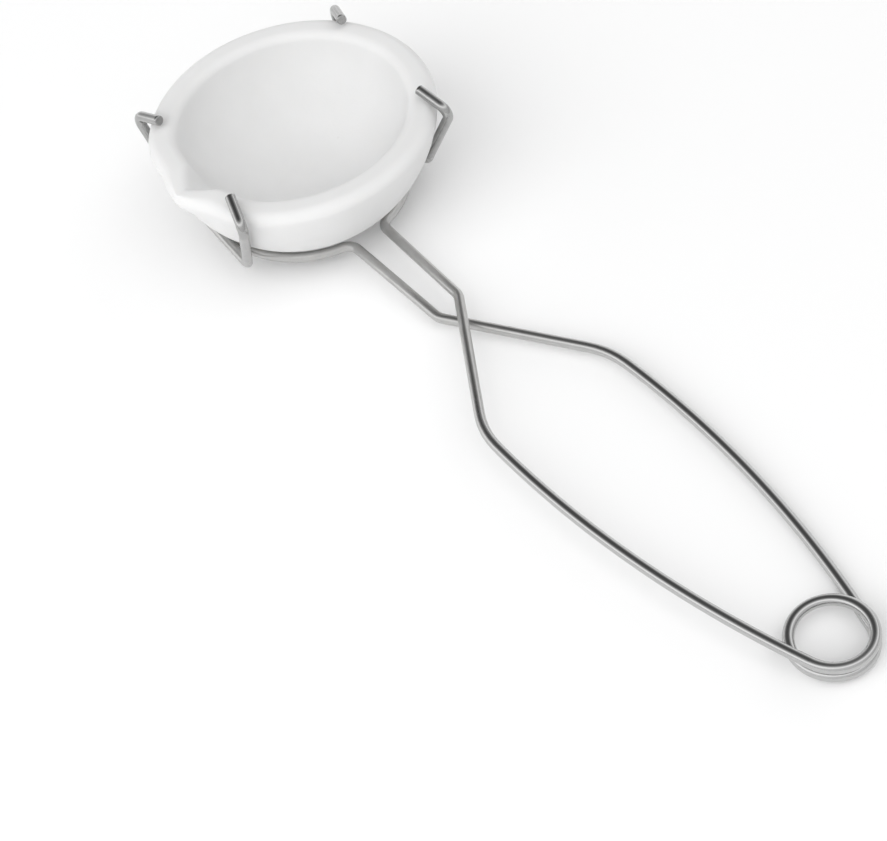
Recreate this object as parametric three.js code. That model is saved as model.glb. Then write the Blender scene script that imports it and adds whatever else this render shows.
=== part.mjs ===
// A casting crucible held in self-closing spring-wire tongs.
// Millimetres, +Z up. The origin is the centre of the dish's flat foot. +X runs from the dish to the coil.
// One long wire makes both arms and the coil between them.
// The arms cross, so squeezing the handles opens the jaws.
import * as THREE from 'three';

// Dish: a bowl turned about Z, with a rounded rim and a small pinched pouring lip on its -Y side.
const DISH_HEIGHT = 33.6;
const OUTER_RADIUS = 40.5;
const OUTER_CENTRE_Z = 38.3;
const RIM_OUTER_ROUND = 3;
const RIM_INNER_ROUND = 3;
const RIM_INNER_RADIUS = 31.5;
const RIM_ROUND_STEPS = 3;
const FLOOR_THICKNESS = 6;
const FOOT_RADIUS = 11.8;
const FOOT_ROUND_HEIGHT = 0.9;
const DISH_SEGMENTS = 72;
const OUTER_STEPS = 8;
const INNER_STEPS = 9;

// Lip: the wall is pinched in on both sides of a ridge. Behind the ridge, the rim's inner edge has a notch.
const LIP_TURN = THREE.MathUtils.degToRad(3.6);
const LIP_PINCH = 1.4;
const LIP_PINCH_ANGLE = THREE.MathUtils.degToRad(15);
const LIP_FADE_ANGLE = THREE.MathUtils.degToRad(38);
const LIP_RIDGE = 0.3;
const LIP_NOTCH = 3.2;
const LIP_NOTCH_ANGLE = THREE.MathUtils.degToRad(13);
const LIP_DIP = 0.9;
const LIP_FADE_LOW_Z = 6;
const LIP_FADE_HIGH_Z = 26;
const NOTCH_FADE_LOW_Z = 22;
const RIDGE_FADE_LOW_Z = 23;
const RIDGE_FADE_HIGH_Z = 31.5;

// Wire: every wire piece has the same gauge, and neighbouring pieces keep a running gap.
const WIRE_DIAMETER = 2.8;
const WIRE_SIDES = 12;
const PIECE_GAP = 0.3;
const WIRE_PITCH = WIRE_DIAMETER + PIECE_GAP;

// Coil: a helix that drops one pitch a turn, from the right arm's end to the left arm's.
const COIL_CENTRE_X = 203.7;
const COIL_RADIUS = 9.6;
const COIL_PITCH = 3.2;
const COIL_END_ANGLE = THREE.MathUtils.degToRad(73.5);
const COIL_STEP = THREE.MathUtils.degToRad(12);
const COIL_LOW_Z = 1.5;
const COIL_TURN = 2 * Math.PI + 2 * COIL_END_ANGLE;
const COIL_HIGH_Z = COIL_LOW_Z + COIL_PITCH * COIL_TURN / (2 * Math.PI);

// Arms: a long bowed handle, a shoulder, the crossing, a narrow neck, and a jaw that curves round the bowl.
const BOW_RADIUS = 292;
const BOW_STEPS = 9;
const SHOULDER_X = 103.8;
const SHOULDER_BEND = 24;
const CROSSING_X = 69.2;
const CROSSING_Z = 4.8;
const NECK_X = 63.1;
const NECK_BEND = 5;
const JAW_RADIUS = 27.1;
const JAW_Z = 5.9;
const JAW_START_ANGLE = THREE.MathUtils.degToRad(10.9);
const JAW_STEP = THREE.MathUtils.degToRad(8);
const JAW_BEND = 4;
const JAW_STRAIGHT = 9;

// Claw bars: each lies on its arm, with both ends bent up the bowl and hooked in over the rim.
const HEAD_TURN = THREE.MathUtils.degToRad(-4);
const BAR_Y = 29.4;
const BAR_Z = 8;
const BAR_HALF_LENGTH = 15.7;
const BAR_BEND = 3;
const CLAW_TOP = new THREE.Vector3(30.1, 32.3, 33.25);
const CLAW_TIP = new THREE.Vector3(19.5, 29.5, 36.45);
const CLAW_BEND = 2.6;

// Welds: a small bead in the outer groove between each bar and its arm.
const WELD_RADIUS = 0.6;
const WELD_LENGTH = 6;
const WELD_CAP_STEPS = 3;
const WELD_SIDES = 8;

const BEND_STEP = THREE.MathUtils.degToRad(17);
const LEFT = -1;
const RIGHT = 1;

const ceramic = () => new THREE.MeshStandardMaterial({ color: 0xf1f0ec, roughness: 0.6, metalness: 0 });
const steel = () => new THREE.MeshStandardMaterial({ color: 0xb4b4b2, roughness: 0.3, metalness: 1 });
const weldMetal = () => new THREE.MeshStandardMaterial({ color: 0x8c8a86, roughness: 0.5, metalness: 1 });

function namedMesh(name, geometry, material) {
  const mesh = new THREE.Mesh(geometry, material);
  mesh.name = name;
  return mesh;
}

// A route through listed points, with a tube section at each point and nowhere else.
class WireRoute extends THREE.Curve {
  constructor(points) {
    super();
    this.points = points;
  }

  getPoint(t, target = new THREE.Vector3()) {
    return target.copy(this.points[Math.round(t * (this.points.length - 1))]);
  }

  getPointAt(u, target) {
    return this.getPoint(u, target);
  }

  getTangentAt(u, target = new THREE.Vector3()) {
    const last = this.points.length - 1;
    const here = Math.round(u * last);
    const before = this.points[Math.max(here - 1, 0)];
    const after = this.points[Math.min(here + 1, last)];
    return target.subVectors(after, before).normalize();
  }
}

// The arc of the given radius that rounds a corner, as points from the first leg to the second.
function roundedCorner(before, corner, after, radius) {
  const toBefore = before.clone().sub(corner).normalize();
  const toAfter = after.clone().sub(corner).normalize();
  const halfOpening = toBefore.angleTo(toAfter) / 2;
  const setback = radius / Math.tan(halfOpening);
  const bisector = toBefore.clone().add(toAfter).normalize();
  const centre = corner.clone().addScaledVector(bisector, radius / Math.sin(halfOpening));
  const start = corner.clone().addScaledVector(toBefore, setback).sub(centre);
  const axis = new THREE.Vector3().crossVectors(toAfter, toBefore).normalize();
  const turn = Math.PI - 2 * halfOpening;
  const steps = Math.max(2, Math.ceil(turn / BEND_STEP));
  const points = [];
  for (let i = 0; i <= steps; i += 1) {
    points.push(start.clone().applyAxisAngle(axis, turn * i / steps).add(centre));
  }
  return points;
}

// Stations are {point, bend}: a station with a bend is a corner to be rounded, one without is passed through.
function routeThrough(stations) {
  const points = [];
  stations.forEach(({ point, bend }, i) => {
    if (bend) {
      points.push(...roundedCorner(stations[i - 1].point, point, stations[i + 1].point, bend));
    } else {
      points.push(point);
    }
  });
  return points;
}

function wireGeometry(points) {
  const section = new THREE.Shape();
  for (let i = 0; i < WIRE_SIDES; i += 1) {
    const angle = 2 * Math.PI * i / WIRE_SIDES;
    const x = WIRE_DIAMETER / 2 * Math.cos(angle);
    const y = WIRE_DIAMETER / 2 * Math.sin(angle);
    if (i === 0) {
      section.moveTo(x, y);
    } else {
      section.lineTo(x, y);
    }
  }
  return new THREE.ExtrudeGeometry(section, {
    steps: points.length - 1,
    extrudePath: new WireRoute(points),
    bevelEnabled: false,
  });
}

// Points of an edge's round, turning from the first angle to the second about a centre in the section's plane.
function edgeRound(centre, radius, from, to) {
  const points = [];
  for (let i = 0; i <= RIM_ROUND_STEPS; i += 1) {
    const angle = THREE.MathUtils.lerp(from, to, i / RIM_ROUND_STEPS);
    points.push(new THREE.Vector2(radius * Math.cos(angle), radius * Math.sin(angle)).add(centre));
  }
  return points;
}

// Half of the bowl's section, from the foot's centre round the rim to the middle of the inside.
function dishProfile() {
  const edgeZ = DISH_HEIGHT - RIM_OUTER_ROUND;
  const from = Math.acos((OUTER_CENTRE_Z - FOOT_ROUND_HEIGHT) / OUTER_RADIUS);
  const to = Math.acos((OUTER_CENTRE_Z - edgeZ) / OUTER_RADIUS);
  const footSide = OUTER_RADIUS * Math.sin(from);
  const points = [
    new THREE.Vector2(0, 0),
    new THREE.Vector2(FOOT_RADIUS, 0),
    new THREE.Vector2((FOOT_RADIUS + footSide) / 2, FOOT_ROUND_HEIGHT / 3),
  ];
  for (let i = 0; i < OUTER_STEPS; i += 1) {
    const angle = THREE.MathUtils.lerp(from, to, i / OUTER_STEPS);
    const height = OUTER_CENTRE_Z - OUTER_RADIUS * Math.cos(angle);
    points.push(new THREE.Vector2(OUTER_RADIUS * Math.sin(angle), height));
  }
  const outerEdge = new THREE.Vector2(OUTER_RADIUS * Math.sin(to) - RIM_OUTER_ROUND, edgeZ);
  points.push(...edgeRound(outerEdge, RIM_OUTER_ROUND, 0, Math.PI / 2));
  // The inner sphere touches both the floor's height and the rim's inner round.
  const innerEdge = new THREE.Vector2(RIM_INNER_RADIUS + RIM_INNER_ROUND, DISH_HEIGHT - RIM_INNER_ROUND);
  const depth = innerEdge.y - FLOOR_THICKNESS;
  const spread = innerEdge.x ** 2 + depth ** 2 - RIM_INNER_ROUND ** 2;
  const innerRadius = spread / (2 * (depth + RIM_INNER_ROUND));
  const widest = Math.atan2(innerEdge.x, innerRadius - depth);
  points.push(...edgeRound(innerEdge, RIM_INNER_ROUND, Math.PI / 2, Math.PI / 2 + widest));
  for (let i = 1; i <= INNER_STEPS; i += 1) {
    const angle = widest * (1 - i / INNER_STEPS);
    const height = FLOOR_THICKNESS + innerRadius * (1 - Math.cos(angle));
    points.push(new THREE.Vector2(innerRadius * Math.sin(angle), height));
  }
  return points;
}

// Moves the wall near -Y: in at the two pinched flanks, out at the ridge, and out more where the notch is.
function shapeLip(geometry) {
  const { lerp, smoothstep } = THREE.MathUtils;
  const position = geometry.attributes.position;
  const vertex = new THREE.Vector3();
  for (let i = 0; i < position.count; i += 1) {
    vertex.fromBufferAttribute(position, i);
    const angle = Math.atan2(vertex.y, vertex.x);
    const across = Math.abs(angle + Math.PI / 2);
    const flare = smoothstep(vertex.z, RIDGE_FADE_LOW_Z, RIDGE_FADE_HIGH_Z);
    const ridge = (1 - Math.min(1, across / LIP_PINCH_ANGLE)) * flare;
    const flank = (1 - ridge) * (1 - smoothstep(across, LIP_PINCH_ANGLE, LIP_FADE_ANGLE));
    const notch = 1 - Math.min(1, across / LIP_NOTCH_ANGLE);
    const radius = Math.hypot(vertex.x, vertex.y);
    const outward = smoothstep(radius, RIM_INNER_RADIUS + RIM_INNER_ROUND, OUTER_RADIUS);
    const high = smoothstep(vertex.z, LIP_FADE_LOW_Z, LIP_FADE_HIGH_Z);
    const top = smoothstep(vertex.z, NOTCH_FADE_LOW_Z, DISH_HEIGHT);
    const push = lerp(LIP_NOTCH * notch * top, LIP_RIDGE * ridge, outward) - LIP_PINCH * flank * high;
    position.setXYZ(
      i,
      vertex.x + push * Math.cos(angle),
      vertex.y + push * Math.sin(angle),
      vertex.z - LIP_DIP * notch * top,
    );
  }
}

function crucibleDish() {
  const geometry = new THREE.LatheGeometry(dishProfile(), DISH_SEGMENTS);
  geometry.rotateX(Math.PI / 2);
  shapeLip(geometry);
  geometry.rotateZ(LIP_TURN);
  return namedMesh('crucible_dish', geometry, ceramic());
}

function springCoil() {
  const steps = Math.ceil(COIL_TURN / COIL_STEP);
  const points = [];
  for (let i = 0; i <= steps; i += 1) {
    const angle = -COIL_END_ANGLE + COIL_TURN * i / steps;
    points.push(new THREE.Vector3(
      COIL_CENTRE_X + COIL_RADIUS * Math.cos(angle),
      COIL_RADIUS * Math.sin(angle),
      THREE.MathUtils.lerp(COIL_HIGH_Z, COIL_LOW_Z, i / steps),
    ));
  }
  return namedMesh('spring_coil', wireGeometry(points), steel());
}

// The handle's stations, from just clear of the coil to the last one before the shoulder.
function handleBow(jaw, coilZ, crossingZ) {
  const centreX = COIL_CENTRE_X - (BOW_RADIUS - COIL_RADIUS) * Math.cos(COIL_END_ANGLE);
  const centreY = -(BOW_RADIUS - COIL_RADIUS) * Math.sin(COIL_END_ANGLE);
  const from = COIL_END_ANGLE + PIECE_GAP / BOW_RADIUS;
  const to = Math.acos((SHOULDER_X - centreX) / BOW_RADIUS);
  const slope = (crossingZ - coilZ) / (COIL_CENTRE_X - CROSSING_X);
  const stations = [];
  for (let i = 0; i <= BOW_STEPS; i += 1) {
    const angle = from + (to - from) * i / BOW_STEPS;
    const x = centreX + BOW_RADIUS * Math.cos(angle);
    const y = centreY + BOW_RADIUS * Math.sin(angle);
    stations.push({ point: new THREE.Vector3(x, -jaw * y, coilZ + slope * Math.max(0, COIL_CENTRE_X - x)) });
  }
  stations[BOW_STEPS].bend = SHOULDER_BEND;
  return stations;
}

// The jaw's stations: an arc round the bowl, then a straight end along the claw bar.
function jawCurve(jaw) {
  const from = jaw * JAW_START_ANGLE;
  const to = jaw * Math.PI / 2 + HEAD_TURN;
  const steps = Math.ceil(Math.abs(to - from) / JAW_STEP);
  const stations = [];
  for (let i = 0; i <= steps; i += 1) {
    const angle = from + (to - from) * i / steps;
    const x = JAW_RADIUS * Math.cos(angle);
    const y = JAW_RADIUS * Math.sin(angle);
    stations.push({ point: new THREE.Vector3(x, y, JAW_Z) });
  }
  stations[0].bend = JAW_BEND;
  const along = new THREE.Vector3(-Math.cos(HEAD_TURN), -Math.sin(HEAD_TURN), 0);
  stations.push({ point: stations[steps].point.clone().addScaledVector(along, JAW_STRAIGHT) });
  return stations;
}

function jawArm(name, jaw) {
  const coilZ = jaw === LEFT ? COIL_LOW_Z : COIL_HIGH_Z;
  const crossingZ = CROSSING_Z + jaw * WIRE_PITCH / 2;
  const shoulderY = handleBow(jaw, coilZ, crossingZ)[BOW_STEPS].point.y;
  const neckY = -shoulderY * (CROSSING_X - NECK_X) / (SHOULDER_X - CROSSING_X);
  const stations = [
    ...handleBow(jaw, coilZ, crossingZ),
    { point: new THREE.Vector3(NECK_X, neckY, crossingZ), bend: NECK_BEND },
    ...jawCurve(jaw),
  ];
  return namedMesh(name, wireGeometry(routeThrough(stations)), steel());
}

// The bar is drawn for its own side, symmetric about the head's Y axis.
function clawBar(name, jaw) {
  const corner = (source, end) => new THREE.Vector3(end * source.x, jaw * source.y, source.z);
  const foot = new THREE.Vector3(BAR_HALF_LENGTH, BAR_Y, BAR_Z);
  const stations = [
    { point: corner(CLAW_TIP, 1) },
    { point: corner(CLAW_TOP, 1), bend: CLAW_BEND },
    { point: corner(foot, 1), bend: BAR_BEND },
    { point: corner(foot, -1), bend: BAR_BEND },
    { point: corner(CLAW_TOP, -1), bend: CLAW_BEND },
    { point: corner(CLAW_TIP, -1) },
  ];
  return namedMesh(name, wireGeometry(routeThrough(stations)), steel());
}

// The bead's axis is parallel to the bar, one gap clear of both wires.
function weldBead(name, jaw) {
  const across = new THREE.Vector2(BAR_Y - JAW_RADIUS, BAR_Z - JAW_Z);
  const reach = WIRE_DIAMETER / 2 + PIECE_GAP + WELD_RADIUS;
  const outward = Math.sqrt(reach ** 2 - (across.length() / 2) ** 2);
  const groove = new THREE.Vector2(across.y, -across.x).normalize().multiplyScalar(outward);
  const bead = new THREE.CapsuleGeometry(WELD_RADIUS, WELD_LENGTH, WELD_CAP_STEPS, WELD_SIDES);
  const mesh = namedMesh(name, bead, weldMetal());
  mesh.rotation.z = Math.PI / 2;
  mesh.position.set(
    -JAW_STRAIGHT / 2,
    jaw * ((JAW_RADIUS + BAR_Y) / 2 + groove.x),
    (JAW_Z + BAR_Z) / 2 + groove.y,
  );
  return mesh;
}

const tongsHead = new THREE.Group();
tongsHead.rotation.z = HEAD_TURN;
tongsHead.add(
  clawBar('left_claw_bar', LEFT),
  clawBar('right_claw_bar', RIGHT),
  weldBead('left_weld', LEFT),
  weldBead('right_weld', RIGHT),
);

const part = new THREE.Group();
part.add(
  crucibleDish(),
  springCoil(),
  jawArm('left_jaw_arm', LEFT),
  jawArm('right_jaw_arm', RIGHT),
  tongsHead,
);

export default part;
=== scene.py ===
import math

import bmesh
import bpy
from mathutils import Matrix, Vector, noise


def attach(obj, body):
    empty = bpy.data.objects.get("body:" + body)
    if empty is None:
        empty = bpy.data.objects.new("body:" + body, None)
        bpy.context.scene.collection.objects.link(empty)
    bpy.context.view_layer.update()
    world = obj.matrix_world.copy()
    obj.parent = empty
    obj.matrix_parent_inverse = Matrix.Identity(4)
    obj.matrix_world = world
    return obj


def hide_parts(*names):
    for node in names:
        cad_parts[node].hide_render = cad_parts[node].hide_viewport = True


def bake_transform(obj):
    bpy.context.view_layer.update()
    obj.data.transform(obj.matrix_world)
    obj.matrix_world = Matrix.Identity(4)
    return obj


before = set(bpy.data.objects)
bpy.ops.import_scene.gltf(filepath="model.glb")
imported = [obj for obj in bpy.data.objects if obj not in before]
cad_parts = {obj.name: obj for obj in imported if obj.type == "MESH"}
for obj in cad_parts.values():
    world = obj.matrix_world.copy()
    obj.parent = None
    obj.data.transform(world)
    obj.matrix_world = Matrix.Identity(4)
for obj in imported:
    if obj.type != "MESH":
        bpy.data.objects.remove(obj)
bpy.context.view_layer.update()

MM = 0.001


# ---------------------------------------------------------------- driving dimensions, in millimetres

WIRE_RADIUS = 1.4
WIRE_SIDES = 28
END_BEVEL = 0.25
LONGEST_STEP = 0.8
QUAD_CORNERS = 4

COIL_CENTRE_X = 203.7
COIL_RADIUS = 9.6
COIL_PITCH = 3.2
COIL_LOW_Z = 1.5
COIL_END = math.radians(73.5)
COIL_TURN = 2 * math.pi + 2 * COIL_END
COIL_HIGH_Z = COIL_LOW_Z + COIL_PITCH * COIL_TURN / (2 * math.pi)
COIL_STEPS = 150

BOW_RADIUS = 292
BOW_STEPS = 80
SHOULDER_X = 103.8
SHOULDER_BEND = 24
SHOULDER_SETBACK = 6.2
CROSSING_X = 69.2
CROSSING_Z = 4.8
CROSSING_DROP = 3.1
NECK_X = 63.1
NECK_BEND = 5
JAW_RADIUS = 27.1
JAW_Z = 5.9
JAW_START = math.radians(10.9)
JAW_STEPS = 40
JAW_BEND = 4
JAW_STRAIGHT = 9

HEAD_TURN = math.radians(-4)
BAR_Y = 29.4
BAR_Z = 8
BAR_HALF_LENGTH = 15.7
BAR_BEND = 3
CLAW_TOP = Vector((30.1, 32.3, 33.25))
CLAW_TIP = Vector((19.5, 29.5, 36.45))
CLAW_BEND = 2.6
BEND_STEP = math.radians(6)
LEAST_BEND_STEPS = 3

DISH_HEIGHT = 33.6
OUTER_RADIUS = 40.5
OUTER_CENTRE_Z = 38.3
RIM_OUTER_ROUND = 3
RIM_INNER_ROUND = 3
RIM_INNER_RADIUS = 31.5
FLOOR_THICKNESS = 6
FOOT_RADIUS = 11.8
FOOT_ROUND_HEIGHT = 0.9
DISH_SEGMENTS = 288
WALL_STEPS = 30
ROUND_STEPS = 12
FOOT_STEPS = 4

LIP_TURN = math.radians(3.6)
LIP_PINCH = 1.4
LIP_PINCH_ANGLE = math.radians(15)
LIP_FADE_ANGLE = math.radians(38)
LIP_RIDGE = 0.3
LIP_NOTCH = 3.2
LIP_NOTCH_ANGLE = math.radians(13)
LIP_DIP = 0.9
LIP_FADE_Z = (6, 26)
RIDGE_FADE_Z = (23, 31.5)
NOTCH_FADE_Z = (22, 33.6)

WELD_LENGTH = 8
WELD_RADIUS = 1.05
WELD_RIPPLE = 0.12
WELD_RIPPLE_STEP = 1.1
WELD_CRUST_STEP = 0.4
WELD_TAPER_FLOOR = 0.02
WELD_STEPS = 40
WELD_SIDES = 20

LEFT = -1
RIGHT = 1


# ---------------------------------------------------------------- wire routes

def rounded_corner(before, corner, after, radius):
    to_before = (before - corner).normalized()
    to_after = (after - corner).normalized()
    half = to_before.angle(to_after) / 2
    centre = corner + (to_before + to_after).normalized() * radius / math.sin(half)
    start = corner + to_before * radius / math.tan(half) - centre
    axis = to_after.cross(to_before).normalized()
    turn = math.pi - 2 * half
    steps = max(LEAST_BEND_STEPS, math.ceil(turn / BEND_STEP))
    return [centre + Matrix.Rotation(turn * i / steps, 3, axis) @ start for i in range(steps + 1)]


def route_through(stations):
    """Stations are (point, bend): one with a bend is a corner to round, one without is passed through."""
    points = []
    for i, (point, bend) in enumerate(stations):
        if bend:
            points += rounded_corner(stations[i - 1][0], point, stations[i + 1][0], bend)
        else:
            points.append(point)
    return points


def coil_route():
    points = []
    for i in range(COIL_STEPS + 1):
        share = i / COIL_STEPS
        angle = -COIL_END + COIL_TURN * share
        z = COIL_HIGH_Z + (COIL_LOW_Z - COIL_HIGH_Z) * share
        points.append(Vector((
            COIL_CENTRE_X + COIL_RADIUS * math.cos(angle),
            COIL_RADIUS * math.sin(angle),
            z,
        )))
    return points


def bow_stations(jaw):
    coil_z = COIL_LOW_Z if jaw == LEFT else COIL_HIGH_Z
    centre_x = COIL_CENTRE_X - (BOW_RADIUS - COIL_RADIUS) * math.cos(COIL_END)
    centre_y = -(BOW_RADIUS - COIL_RADIUS) * math.sin(COIL_END)
    end = math.acos((SHOULDER_X - centre_x) / BOW_RADIUS)
    slope = (crossing_z(jaw) - coil_z) / (COIL_CENTRE_X - CROSSING_X)
    stations = []
    for i in range(BOW_STEPS + 1):
        angle = COIL_END + (end - COIL_END) * i / BOW_STEPS
        x = centre_x + BOW_RADIUS * math.cos(angle)
        y = centre_y + BOW_RADIUS * math.sin(angle)
        z = coil_z + slope * max(0, COIL_CENTRE_X - x)
        stations.append((Vector((x, -jaw * y, z)), None))
    corner = stations[-1][0]
    kept = [s for s in stations if (s[0] - corner).length > SHOULDER_SETBACK]
    return kept + [(corner, SHOULDER_BEND)]


def crossing_z(jaw):
    return CROSSING_Z + jaw * CROSSING_DROP / 2


def jaw_stations(jaw):
    start = jaw * JAW_START
    end = jaw * math.pi / 2 + HEAD_TURN
    stations = []
    for i in range(JAW_STEPS + 1):
        angle = start + (end - start) * i / JAW_STEPS
        point = Vector((JAW_RADIUS * math.cos(angle), JAW_RADIUS * math.sin(angle), JAW_Z))
        stations.append((point, None))
    stations[0] = (stations[0][0], JAW_BEND)
    along = Vector((-math.cos(HEAD_TURN), -math.sin(HEAD_TURN), 0))
    stations.append((stations[-1][0] + along * JAW_STRAIGHT, None))
    return stations


def arm_route(jaw):
    bow = bow_stations(jaw)
    shoulder_y = bow[-1][0].y
    neck_y = -shoulder_y * (CROSSING_X - NECK_X) / (SHOULDER_X - CROSSING_X)
    neck = (Vector((NECK_X, neck_y, crossing_z(jaw))), NECK_BEND)
    jaw_part = jaw_stations(jaw)
    return route_through(bow + [neck] + thin_start(jaw_part))


def thin_start(stations):
    """Drops the arc points that the rounded first corner already covers."""
    corner = stations[0][0]
    kept = [s for s in stations[1:] if (s[0] - corner).length > JAW_BEND]
    return [stations[0]] + kept


def claw_route(jaw):
    def at(source, end):
        return Vector((end * source.x, jaw * source.y, source.z))
    foot = Vector((BAR_HALF_LENGTH, BAR_Y, BAR_Z))
    stations = [
        (at(CLAW_TIP, 1), None),
        (at(CLAW_TOP, 1), CLAW_BEND),
        (at(foot, 1), BAR_BEND),
        (at(foot, -1), BAR_BEND),
        (at(CLAW_TOP, -1), CLAW_BEND),
        (at(CLAW_TIP, -1), None),
    ]
    turn = Matrix.Rotation(HEAD_TURN, 3, "Z")
    return [turn @ p for p in route_through(stations)]


# ---------------------------------------------------------------- meshes

def spread(points, longest):
    """The same route with extra points wherever two neighbours are further apart than longest."""
    dense = [points[0]]
    for a, b in zip(points, points[1:]):
        count = max(1, math.ceil((b - a).length / longest))
        dense += [a.lerp(b, i / count) for i in range(1, count + 1)]
    return dense


def tangents(points):
    last = len(points) - 1
    return [(points[min(i + 1, last)] - points[max(i - 1, 0)]).normalized() for i in range(last + 1)]


def finish_mesh(name, bm, material):
    mesh = bpy.data.meshes.new(name)
    bmesh.ops.recalc_face_normals(bm, faces=bm.faces)
    bm.to_mesh(mesh)
    bm.free()
    mesh.polygons.foreach_set("use_smooth", [True] * len(mesh.polygons))
    mesh.materials.append(material)
    made = bpy.data.objects.new(name, mesh)
    bpy.context.scene.collection.objects.link(made)
    return made


def rings_along(points, radius_at, sides):
    """A ring of (place, drawn) pairs round each point. Drawn is how far along and which way round it is."""
    ways = tangents(points)
    side = ways[0].orthogonal().normalized()
    rings = []
    length = 0
    for i, (point, way) in enumerate(zip(points, ways)):
        if i:
            length += (point - points[i - 1]).length
            side = ways[i - 1].rotation_difference(way) @ side
        side = (side - way * side.dot(way)).normalized()
        other = way.cross(side)
        ring = []
        for k in range(sides):
            angle = 2 * math.pi * k / sides
            out = side * math.cos(angle) + other * math.sin(angle)
            drawn = Vector((length, math.cos(angle), math.sin(angle)))
            ring.append((point + out * radius_at(i, angle), drawn))
        rings.append(ring)
    return rings


def skin(name, rings, material, start_cap=True, end_cap=True):
    """A tube through the rings. An end without a cap runs on into the next piece of the same wire."""
    bm = bmesh.new()
    layer = bm.verts.layers.float_vector.new("drawn")
    made_rings = []
    for ring in rings:
        made_ring = []
        for place, drawn in ring:
            vert = bm.verts.new(place * MM)
            vert[layer] = drawn
            made_ring.append(vert)
        made_rings.append(made_ring)
    for a, b in zip(made_rings, made_rings[1:]):
        for k, vert in enumerate(a):
            after = (k + 1) % len(a)
            bm.faces.new((vert, a[after], b[after], b[k]))
    if start_cap:
        bm.faces.new(reversed(made_rings[0]))
    if end_cap:
        bm.faces.new(made_rings[-1])
    made = finish_mesh(name, bm, material)
    # The caps are the only faces with more than four corners, and stay flat.
    for face in made.data.polygons:
        if len(face.vertices) > QUAD_CORNERS:
            face.use_smooth = False
    return made


def wire_rings(route):
    """Rings of the common gauge along a cut length of wire, with a small bevel at both ends."""
    points = spread(route, LONGEST_STEP)
    first = points[0] + (points[1] - points[0]).normalized() * END_BEVEL
    last = points[-1] + (points[-2] - points[-1]).normalized() * END_BEVEL
    points = [points[0], first] + points[1:-1] + [last, points[-1]]

    def radius_at(i, angle):
        return WIRE_RADIUS - END_BEVEL if i in (0, len(points) - 1) else WIRE_RADIUS
    return rings_along(points, radius_at, WIRE_SIDES)


def nearest_ring(rings, point):
    """The index of the ring whose middle is nearest to the point."""
    def miss(i):
        ring = rings[i]
        return ((ring[0][0] + ring[len(ring) // 2][0]) / 2 - point).length
    return min(range(len(rings)), key=miss)


def smoothstep(value, low, high):
    share = min(1, max(0, (value - low) / (high - low)))
    return share * share * (3 - 2 * share)


def edge_round(centre, radius, start, end):
    """An edge's round in the section's plane, turning from the start angle to the end angle."""
    points = []
    for i in range(ROUND_STEPS + 1):
        angle = start + (end - start) * i / ROUND_STEPS
        points.append((centre[0] + radius * math.cos(angle), centre[1] + radius * math.sin(angle)))
    return points


def dish_profile():
    """Half of the bowl's section, from just off the foot's centre round the rim to the inside's middle."""
    edge_z = DISH_HEIGHT - RIM_OUTER_ROUND
    start = math.acos((OUTER_CENTRE_Z - FOOT_ROUND_HEIGHT) / OUTER_RADIUS)
    end = math.acos((OUTER_CENTRE_Z - edge_z) / OUTER_RADIUS)
    side = OUTER_RADIUS * math.sin(start)
    points = [(FOOT_RADIUS * i / FOOT_STEPS, 0) for i in range(1, FOOT_STEPS + 1)]
    points.append(((FOOT_RADIUS + side) / 2, FOOT_ROUND_HEIGHT / 3))
    for i in range(WALL_STEPS):
        angle = start + (end - start) * i / WALL_STEPS
        points.append((OUTER_RADIUS * math.sin(angle), OUTER_CENTRE_Z - OUTER_RADIUS * math.cos(angle)))
    outer_edge = (OUTER_RADIUS * math.sin(end) - RIM_OUTER_ROUND, edge_z)
    points += edge_round(outer_edge, RIM_OUTER_ROUND, 0, math.pi / 2)
    inner_edge = (RIM_INNER_RADIUS + RIM_INNER_ROUND, DISH_HEIGHT - RIM_INNER_ROUND)
    depth = inner_edge[1] - FLOOR_THICKNESS
    spread_squared = inner_edge[0] ** 2 + depth ** 2 - RIM_INNER_ROUND ** 2
    inner = spread_squared / (2 * (depth + RIM_INNER_ROUND))
    widest = math.atan2(inner_edge[0], inner - depth)
    points += edge_round(inner_edge, RIM_INNER_ROUND, math.pi / 2, math.pi / 2 + widest)
    for i in range(1, WALL_STEPS):
        angle = widest * (1 - i / WALL_STEPS)
        points.append((inner * math.sin(angle), FLOOR_THICKNESS + inner * (1 - math.cos(angle))))
    return points


def lip_move(radius, across, z):
    """How far a point of the turned bowl moves outwards and down, across being its angle from the lip."""
    near = min(1, across / LIP_PINCH_ANGLE)
    ridge = (1 - near) * smoothstep(z, *RIDGE_FADE_Z)
    flank = (1 - ridge) * (1 - smoothstep(across, LIP_PINCH_ANGLE, LIP_FADE_ANGLE))
    notch = 1 - min(1, across / LIP_NOTCH_ANGLE)
    outward = smoothstep(radius, RIM_INNER_RADIUS + RIM_INNER_ROUND, OUTER_RADIUS)
    high = smoothstep(z, *LIP_FADE_Z)
    top = smoothstep(z, *NOTCH_FADE_Z)
    inside = LIP_NOTCH * notch * top
    push = inside + (LIP_RIDGE * ridge - inside) * outward - LIP_PINCH * flank * high
    return push, LIP_DIP * notch * top


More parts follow.
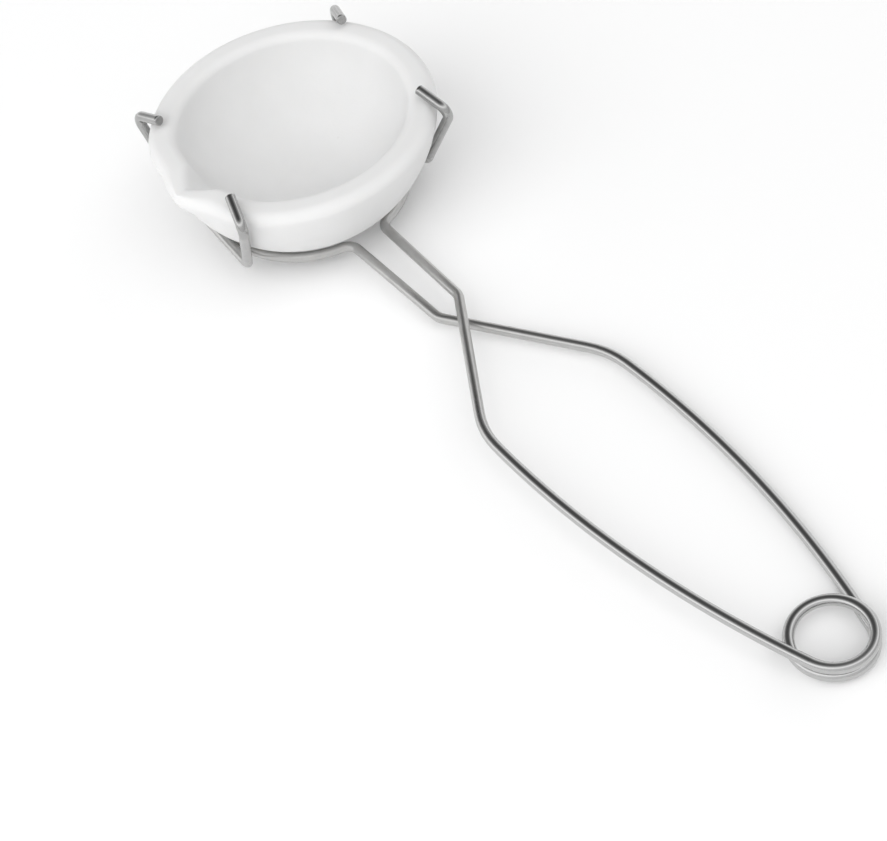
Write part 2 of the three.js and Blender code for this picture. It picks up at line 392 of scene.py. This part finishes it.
def dish(material):
    profile = dish_profile()
    bm = bmesh.new()
    rings = []
    for radius, z in profile:
        ring = []
        for k in range(DISH_SEGMENTS):
            angle = -math.pi + 2 * math.pi * k / DISH_SEGMENTS
            push, dip = lip_move(radius, abs(angle + math.pi / 2), z)
            r = radius + push
            turned = angle + LIP_TURN
            ring.append(bm.verts.new(Vector((r * math.cos(turned), r * math.sin(turned), z - dip)) * MM))
        rings.append(ring)
    for a, b in zip(rings, rings[1:]):
        for k in range(DISH_SEGMENTS):
            bm.faces.new((a[k], a[(k + 1) % DISH_SEGMENTS], b[(k + 1) % DISH_SEGMENTS], b[k]))
    for ring, z in ((rings[0], 0), (rings[-1], FLOOR_THICKNESS)):
        middle = bm.verts.new(Vector((0, 0, z)) * MM)
        for k in range(DISH_SEGMENTS):
            bm.faces.new((ring[k], ring[(k + 1) % DISH_SEGMENTS], middle))
    return finish_mesh("dish_body", bm, material)


def weld(name, jaw, material):
    """A rippled bead that bridges the claw bar and the arm's end."""
    turn = Matrix.Rotation(HEAD_TURN, 3, "Z")
    middle = Vector((-JAW_STRAIGHT / 2, jaw * (JAW_RADIUS + BAR_Y) / 2, (JAW_Z + BAR_Z) / 2))
    points = []
    for i in range(WELD_STEPS + 1):
        x = WELD_LENGTH * (i / WELD_STEPS - 0.5)
        points.append(turn @ (middle + Vector((x, 0, 0))))

    def radius_at(i, angle):
        share = 2 * i / WELD_STEPS - 1
        taper = math.sqrt(max(WELD_TAPER_FLOOR, 1 - share ** 4))
        ripple = WELD_RIPPLE * math.sin(i * WELD_RIPPLE_STEP + math.sin(angle))
        crust = Vector((i * WELD_CRUST_STEP, math.cos(angle) + jaw, math.sin(angle)))
        rough = WELD_RIPPLE * noise.noise(crust)
        return WELD_RADIUS * taper + ripple * taper + rough
    return skin(name, rings_along(points, radius_at, WELD_SIDES), material)


# ---------------------------------------------------------------- materials

# Where the flame's dulling fades out along the wire and up it, in metres; above it, near the jaws, the
# claws get painted shade.
DULLING_AND_SHADE_REACH_X = (0.075, 0.125)
DULLING_AND_SHADE_REACH_Z = (0.009, 0.014)


def new_material(name):
    material = bpy.data.materials.new(name)
    material.use_nodes = True
    tree = material.node_tree
    tree.nodes.clear()
    shader = tree.nodes.new("ShaderNodeBsdfPrincipled")
    output = tree.nodes.new("ShaderNodeOutputMaterial")
    tree.links.new(shader.outputs["BSDF"], output.inputs["Surface"])
    return material, tree, shader


def add(tree, kind, inputs=None, **settings):
    node = tree.nodes.new(kind)
    for key, value in settings.items():
        setattr(node, key, value)
    for key, value in (inputs or {}).items():
        if isinstance(value, bpy.types.NodeSocket):
            tree.links.new(value, node.inputs[key])
        else:
            node.inputs[key].default_value = value
    return node


def noise_of(tree, vector, scale, detail=3.0, roughness=0.5):
    node = add(tree, "ShaderNodeTexNoise", {
        "Vector": vector, "Scale": scale, "Detail": detail, "Roughness": roughness,
    })
    return node.outputs["Fac"]


def ramp(tree, value, low, high, to_low, to_high):
    node = add(tree, "ShaderNodeMapRange", {
        "Value": value, "From Min": low, "From Max": high, "To Min": to_low, "To Max": to_high,
    })
    return node.outputs["Result"]


def colour_mix(tree, share, first, second):
    node = add(tree, "ShaderNodeMix", data_type="RGBA")
    tree.links.new(share, node.inputs["Factor"])
    for socket, value in ((node.inputs[6], first), (node.inputs[7], second)):
        if isinstance(value, bpy.types.NodeSocket):
            tree.links.new(value, socket)
        else:
            socket.default_value = (*value, 1)
    return node.outputs[2]


def bump(tree, shader, height, strength, distance):
    node = add(tree, "ShaderNodeBump", {"Height": height, "Strength": strength, "Distance": distance})
    tree.links.new(node.outputs["Normal"], shader.inputs["Normal"])


def math_node(tree, operation, first, second):
    node = add(tree, "ShaderNodeMath", operation=operation)
    for socket, value in zip(node.inputs, (first, second)):
        if isinstance(value, bpy.types.NodeSocket):
            tree.links.new(value, socket)
        else:
            socket.default_value = value
    return node.outputs["Value"]


def porcelain():
    material, tree, shader = new_material("porcelain")
    place = add(tree, "ShaderNodeTexCoord").outputs["Object"]
    cloud = noise_of(tree, place, 45, 4)
    grain = noise_of(tree, place, 1400, 3, 0.6)
    specks = noise_of(tree, place, 420, 2, 0.4)
    tone = colour_mix(tree, ramp(tree, cloud, 0.35, 0.65, 0, 1), (0.72, 0.72, 0.718), (0.75, 0.75, 0.749))
    speckled = colour_mix(tree, ramp(tree, specks, 0.78, 0.84, 0, 0.2), tone, (0.52, 0.49, 0.45))
    tree.links.new(speckled, shader.inputs["Base Color"])
    tree.links.new(ramp(tree, cloud, 0.3, 0.7, 0.62, 0.5), shader.inputs["Roughness"])
    shader.inputs["Specular IOR Level"].default_value = 0.35
    shader.inputs["Subsurface Weight"].default_value = 0.08
    shader.inputs["Subsurface Radius"].default_value = (0.004, 0.0035, 0.003)
    shader.inputs["Subsurface Scale"].default_value = 0.5
    uneven = math_node(tree, "ADD", grain, math_node(tree, "MULTIPLY", cloud, 3.0))
    bump(tree, shader, uneven, 0.12, 0.0003)
    return material


def drawn_steel():
    """Drawn wire with lengthwise die lines, duller on the arms near the jaws, painted shade on the claws.
    """
    material, tree, shader = new_material("drawn_steel")
    drawn = add(tree, "ShaderNodeAttribute", attribute_name="drawn").outputs["Vector"]
    stretched = add(tree, "ShaderNodeMapping", {"Vector": drawn, "Scale": (0.02, 9, 9)}).outputs["Vector"]
    lines = noise_of(tree, stretched, 1.6, 5, 0.65)
    pitted = add(tree, "ShaderNodeMapping", {"Vector": drawn, "Scale": (0.8, 1.6, 1.6)}).outputs["Vector"]
    blotches = noise_of(tree, pitted, 0.5, 4, 0.6)
    place = add(tree, "ShaderNodeTexCoord").outputs["Object"]
    apart = add(tree, "ShaderNodeSeparateXYZ", {"Vector": place}).outputs
    near_jaws = ramp(tree, apart["X"], *DULLING_AND_SHADE_REACH_X, 1, 0)
    low_down = ramp(tree, apart["Z"], *DULLING_AND_SHADE_REACH_Z, 1, 0)
    dull = math_node(tree, "MULTIPLY", near_jaws, low_down)
    clean = colour_mix(tree, lines, (0.42, 0.42, 0.42), (0.60, 0.60, 0.597))
    worn = colour_mix(tree, blotches, (0.44, 0.438, 0.43), (0.58, 0.577, 0.57))
    # The claws' darker tone below is painted shade, not a colour of the wire itself.
    claw_shade_tone = colour_mix(tree, blotches, (0.32, 0.32, 0.317), (0.50, 0.50, 0.497))
    claw_shade_mask = math_node(tree, "SUBTRACT", near_jaws, dull)
    tone = colour_mix(tree, claw_shade_mask, colour_mix(tree, dull, clean, worn), claw_shade_tone)
    tree.links.new(tone, shader.inputs["Base Color"])
    shader.inputs["Metallic"].default_value = 1.0
    bright_rough = ramp(tree, lines, 0.3, 0.7, 0.13, 0.24)
    rough = math_node(tree, "ADD", bright_rough, math_node(tree, "MULTIPLY", dull, 0.16))
    tree.links.new(rough, shader.inputs["Roughness"])
    bump(tree, shader, lines, 0.10, 0.00005)
    return material


def weld_metal():
    material, tree, shader = new_material("weld_metal")
    place = add(tree, "ShaderNodeTexCoord").outputs["Object"]
    crust = noise_of(tree, place, 900, 4, 0.6)
    tint = colour_mix(tree, crust, (0.20, 0.18, 0.165), (0.47, 0.455, 0.44))
    tree.links.new(tint, shader.inputs["Base Color"])
    tree.links.new(ramp(tree, crust, 0.3, 0.7, 0.35, 0.6), shader.inputs["Roughness"])
    shader.inputs["Metallic"].default_value = 1.0
    bump(tree, shader, crust, 0.3, 0.0002)
    return material


def floor_paper():
    material, tree, shader = new_material("floor_paper")
    place = add(tree, "ShaderNodeTexCoord").outputs["Object"]
    tone = colour_mix(tree, noise_of(tree, place, 6, 2), (0.93, 0.93, 0.93), (0.95, 0.95, 0.95))
    tree.links.new(tone, shader.inputs["Base Color"])
    shader.inputs["Roughness"].default_value = 0.9
    shader.inputs["Specular IOR Level"].default_value = 0.1
    return material


# ---------------------------------------------------------------- the object

steel = drawn_steel()
weld_finish = weld_metal()

dish_body = dish(porcelain())
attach(dish_body, "dish")
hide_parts("crucible_dish")

left_route = arm_route(LEFT)
right_route = arm_route(RIGHT)
long_wire = wire_rings(right_route[::-1] + coil_route()[1:-1] + left_route)
coil_from = nearest_ring(long_wire, right_route[0])
coil_to = nearest_ring(long_wire, left_route[0])

coil_rings = long_wire[coil_from:coil_to + 1]
coil_wire = skin("coil_wire", coil_rings, steel, start_cap=False, end_cap=False)
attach(coil_wire, "coil")
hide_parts("spring_coil")

ARMS = (
    ("left", LEFT, long_wire[coil_to:], left_route[0]),
    ("right", RIGHT, long_wire[:coil_from + 1], right_route[0]),
)
for side_name, jaw, rings, arm_start in ARMS:
    body = side_name + "_jaw"
    is_left = jaw == LEFT
    arm = skin(side_name + "_arm_wire", rings, steel, start_cap=not is_left, end_cap=is_left)
    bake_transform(arm)
    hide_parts(side_name + "_jaw_arm")
    claw = skin(side_name + "_claw_wire", wire_rings(claw_route(jaw)), steel)
    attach(claw, body)
    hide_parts(side_name + "_claw_bar")
    bead = weld(side_name + "_weld_bead", jaw, weld_finish)
    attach(bead, body)
    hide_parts(side_name + "_weld")


# ---------------------------------------------------------------- floor, light and camera

# Metres and watts from here on.
FLOOR_HALF = 1.5
FLOOR_Z = -0.0003

CAMERA_AZIMUTH = math.radians(62.86)
CAMERA_ELEVATION = math.radians(49.66)
CAMERA_ROLL = math.radians(-13.8)
CAMERA_PLACE = (0.3893, -0.1767, 0.3972)
CAMERA_LENS = 83.57
CAMERA_SENSOR = 36

# Name, place, target, side length and power.
SOFTBOXES = (
    ("key", (0.3, -0.95, 0.75), (0.05, 0, 0), 1.2, 4.7),
    ("overhead", (0.1, -0.1, 1.5), (0.1, 0, 0), 1.8, 6.7),
)

BRIGHT_SIDE = Vector((0.1, -0.9, 0.42))
ROOM_RANGE = (0.70, 1.01)
OPENING = Vector((-0.498, 0.044, 0.866))
# Strength of the room by angle from the opening's middle, as (degrees, strength), widest first.
OPENING_STEPS = ((78, 0.9), (62, 1.8), (42, 0.6), (22, 0.12))
BRIGHTEST = 1.8


def floor():
    bm = bmesh.new()
    corners = ((-1, -1), (1, -1), (1, 1), (-1, 1))
    bm.faces.new([bm.verts.new((x * FLOOR_HALF, y * FLOOR_HALF, FLOOR_Z)) for x, y in corners])
    mesh = bpy.data.meshes.new("floor")
    bm.to_mesh(mesh)
    bm.free()
    mesh.materials.append(floor_paper())
    made = bpy.data.objects.new("floor", mesh)
    bpy.context.scene.collection.objects.link(made)
    return made


def softbox(name, place, target, size, power):
    light = bpy.data.lights.new(name, "AREA")
    light.shape = "RECTANGLE"
    light.size = size
    light.size_y = size
    light.energy = power
    made = bpy.data.objects.new(name, light)
    made.location = place
    made.visible_glossy = False
    made.rotation_euler = (Vector(target) - Vector(place)).to_track_quat("-Z", "Y").to_euler()
    bpy.context.scene.collection.objects.link(made)
    return made


def studio_world():
    """A pale room, brighter on the lip's side. A dark opening in a bright surround streaks the wire."""
    world = bpy.data.worlds.new("studio")
    world.use_nodes = True
    tree = world.node_tree
    tree.nodes.clear()
    direction = add(tree, "ShaderNodeTexCoord").outputs["Generated"]
    towards_lip = add(tree, "ShaderNodeVectorMath", {0: direction, 1: BRIGHT_SIDE}, operation="DOT_PRODUCT")
    room = ramp(tree, towards_lip.outputs["Value"], -1, 1, *ROOM_RANGE)
    to_opening = add(tree, "ShaderNodeVectorMath", {0: direction, 1: OPENING}, operation="DOT_PRODUCT")
    shade = add(tree, "ShaderNodeValToRGB", {"Fac": to_opening.outputs["Value"]})
    stops = shade.color_ramp.elements
    stops.remove(stops[1])
    for i, (angle, value) in enumerate(OPENING_STEPS):
        place = math.cos(math.radians(angle))
        stop = stops[0] if i == 0 else stops.new(place)
        stop.position = place
        stop.color = (value / BRIGHTEST, value / BRIGHTEST, value / BRIGHTEST, 1)
    opening = math_node(tree, "MULTIPLY", shade.outputs["Color"], BRIGHTEST)
    strength = math_node(tree, "MULTIPLY", room, opening)
    background = add(tree, "ShaderNodeBackground", {"Color": (1, 1, 1, 1), "Strength": strength})
    output = add(tree, "ShaderNodeOutputWorld")
    tree.links.new(background.outputs["Background"], output.inputs["Surface"])
    return world


def camera():
    back = Vector((
        math.sin(CAMERA_AZIMUTH) * math.cos(CAMERA_ELEVATION),
        -math.cos(CAMERA_AZIMUTH) * math.cos(CAMERA_ELEVATION),
        math.sin(CAMERA_ELEVATION),
    ))
    level = Vector((math.cos(CAMERA_AZIMUTH), math.sin(CAMERA_AZIMUTH), 0))
    upright = back.cross(level)
    right = level * math.cos(CAMERA_ROLL) + upright * math.sin(CAMERA_ROLL)
    up = upright * math.cos(CAMERA_ROLL) - level * math.sin(CAMERA_ROLL)
    data = bpy.data.cameras.new("camera")
    data.lens = CAMERA_LENS
    data.sensor_width = CAMERA_SENSOR
    data.clip_start = 0.01
    data.clip_end = 20
    made = bpy.data.objects.new("camera", data)
    turn = Matrix((right, up, back)).transposed().to_4x4()
    made.matrix_world = Matrix.Translation(CAMERA_PLACE) @ turn
    bpy.context.scene.collection.objects.link(made)
    bpy.context.scene.camera = made


floor()
for light_name, light_place, light_target, light_size, light_power in SOFTBOXES:
    softbox(light_name, light_place, light_target, light_size, light_power)
bpy.context.scene.world = studio_world()
bpy.context.scene.view_settings.view_transform = "Standard"
bpy.context.scene.view_settings.look = "None"
camera()
